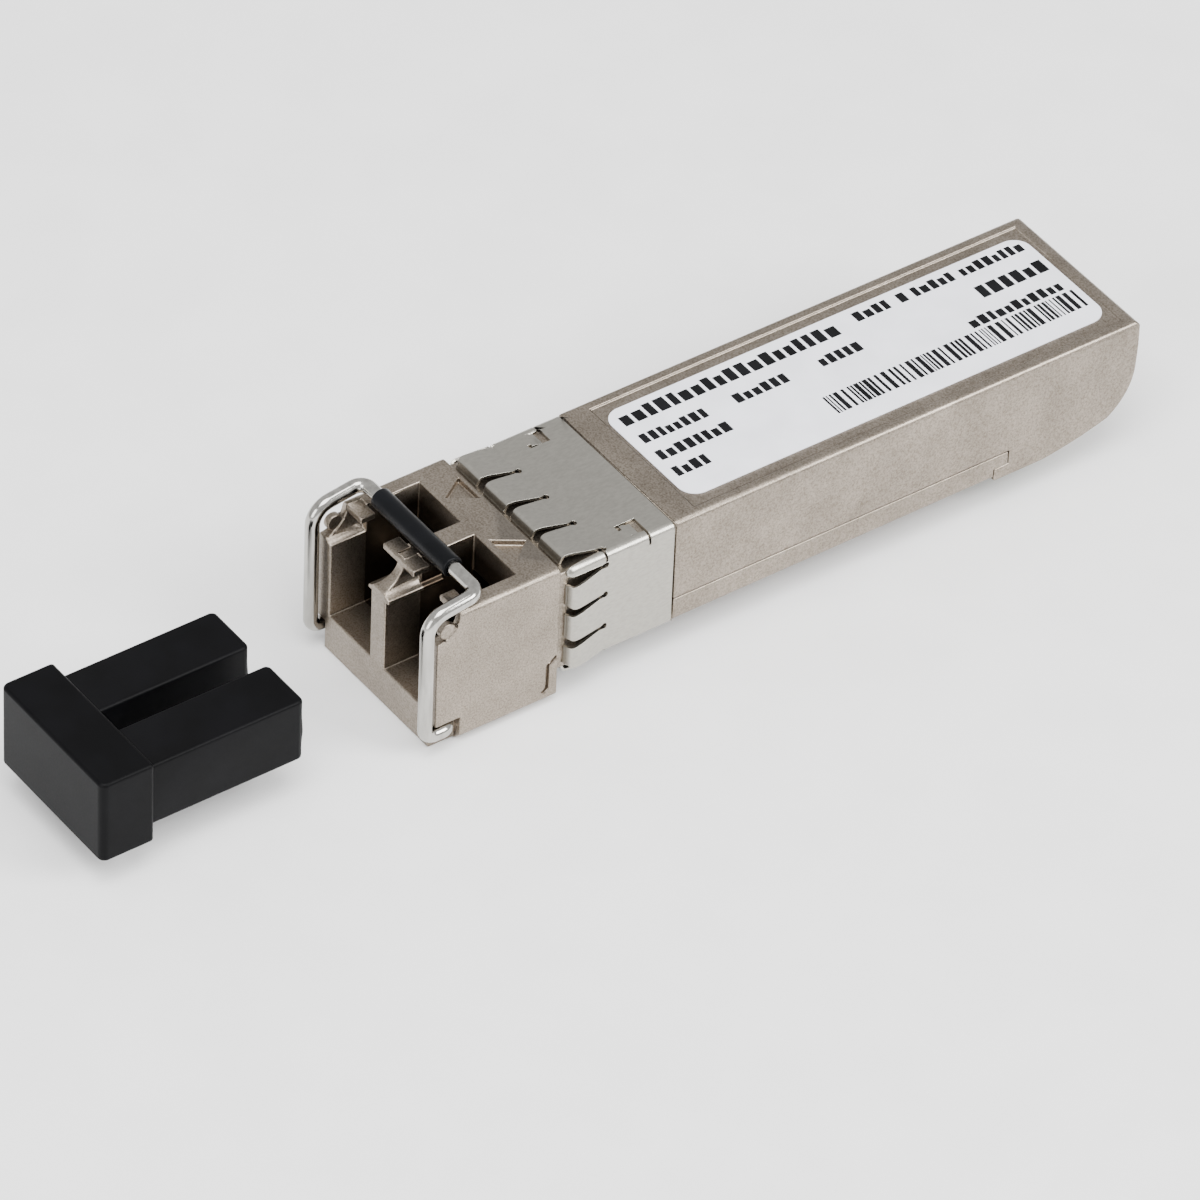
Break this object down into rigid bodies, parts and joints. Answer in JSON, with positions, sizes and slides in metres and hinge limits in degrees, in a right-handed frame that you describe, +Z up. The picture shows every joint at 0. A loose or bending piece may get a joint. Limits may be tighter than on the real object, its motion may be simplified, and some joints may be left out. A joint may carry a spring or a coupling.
{
  "type": "optical transceiver module",
  "caption": "Small pluggable optical transceiver: cast metal case with a duplex lens port nose, swinging wire bail latch, spring shielding collar, card edge and a pull-out dust plug.",
  "frame": {"origin": "on the centre line, on the flat underside that rides on the cage floor, in the plane of the cage's mouth where the nose stops", "axes": "+X the right side seen from the ports, +Y from the ports to the card edge, +Z up through the label"},
  "size_m": [0.0144, 0.0817, 0.0129],
  "materials": {
    "nickel_plated_zinc": "nickel-plated zinc casting, fine satin grain",
    "stainless_spring": "stamped stainless spring sheet, satin",
    "polished_wire": "drawn and polished stainless wire",
    "grip_plastic": "black vinyl tube, satin",
    "plug_plastic": "black moulded plug, fine matte texture",
    "label_film": "white polyester label film, semi-gloss",
    "latch_steel": "nickel-plated steel, satin",
    "optic_steel": "turned stainless steel",
    "zirconia": "polished zirconia ceramic",
    "polyimide_film": "amber polyimide film",
    "clamp_plastic": "black moulded liquid-crystal polymer",
    "board_laminate": "green solder mask on glass laminate",
    "gold_plating": "hard gold plating",
    "chip_moulding": "black epoxy moulding",
    "ceramic_chip": "tan ceramic chips",
    "thermal_silicone": "blue-grey silicone pad",
    "conductive_foam": "carbon-filled foam"
  },
  "bodies": {
    "module": {"nose_shell": "nickel_plated_zinc", "upper_shell": "nickel_plated_zinc", "lower_shell": "nickel_plated_zinc", "emi_collar": "stainless_spring", "product_label": "label_film", "lever_pin": "latch_steel", "lever_spring": "latch_steel", "transmitter_barrel": "optic_steel", "receiver_barrel": "optic_steel", "transmitter_can": "optic_steel", "receiver_can": "optic_steel", "transmitter_sleeve": "zirconia", "receiver_sleeve": "zirconia", "transmitter_flex": "polyimide_film", "receiver_flex": "polyimide_film", "optics_clamp": "clamp_plastic", "circuit_board": "board_laminate", "edge_contacts": "gold_plating", "laser_driver": "chip_moulding", "signal_retimer": "chip_moulding", "microcontroller": "chip_moulding", "memory_chip": "chip_moulding", "clock_crystal": "optic_steel", "capacitors": "ceramic_chip", "inductors": "chip_moulding", "thermal_pad": "thermal_silicone", "housing_screws": "latch_steel", "emi_gasket": "conductive_foam"},
    "bail": {"bail_wire": "polished_wire", "bail_sleeve": "grip_plastic"},
    "latch": {"latch_lever": "latch_steel"},
    "plug": {"dust_plug": "plug_plastic"}
  },
  "joints": [
    {"name": "bail_swing", "type": "hinge", "parent": "module", "child": "bail", "pos_m": [0, -0.0077, -0.0006], "axis": [1, 0, 0], "range_deg": [0, 72]},
    {"name": "lever_tilt", "type": "hinge", "parent": "module", "child": "latch", "pos_m": [0, -0.0036, -0.0009], "axis": [1, 0, 0], "range_deg": [0, 4.4], "deforming": ["lever_spring"]},
    {"name": "plug_slide", "type": "slide", "parent": "module", "child": "plug", "axis": [0, 1, 0], "range_m": [0, 0.0184]}
  ],
  "couplings": [
    {"joint": "lever_tilt", "follows": "bail_swing", "ratio": 0.06}
  ]
}
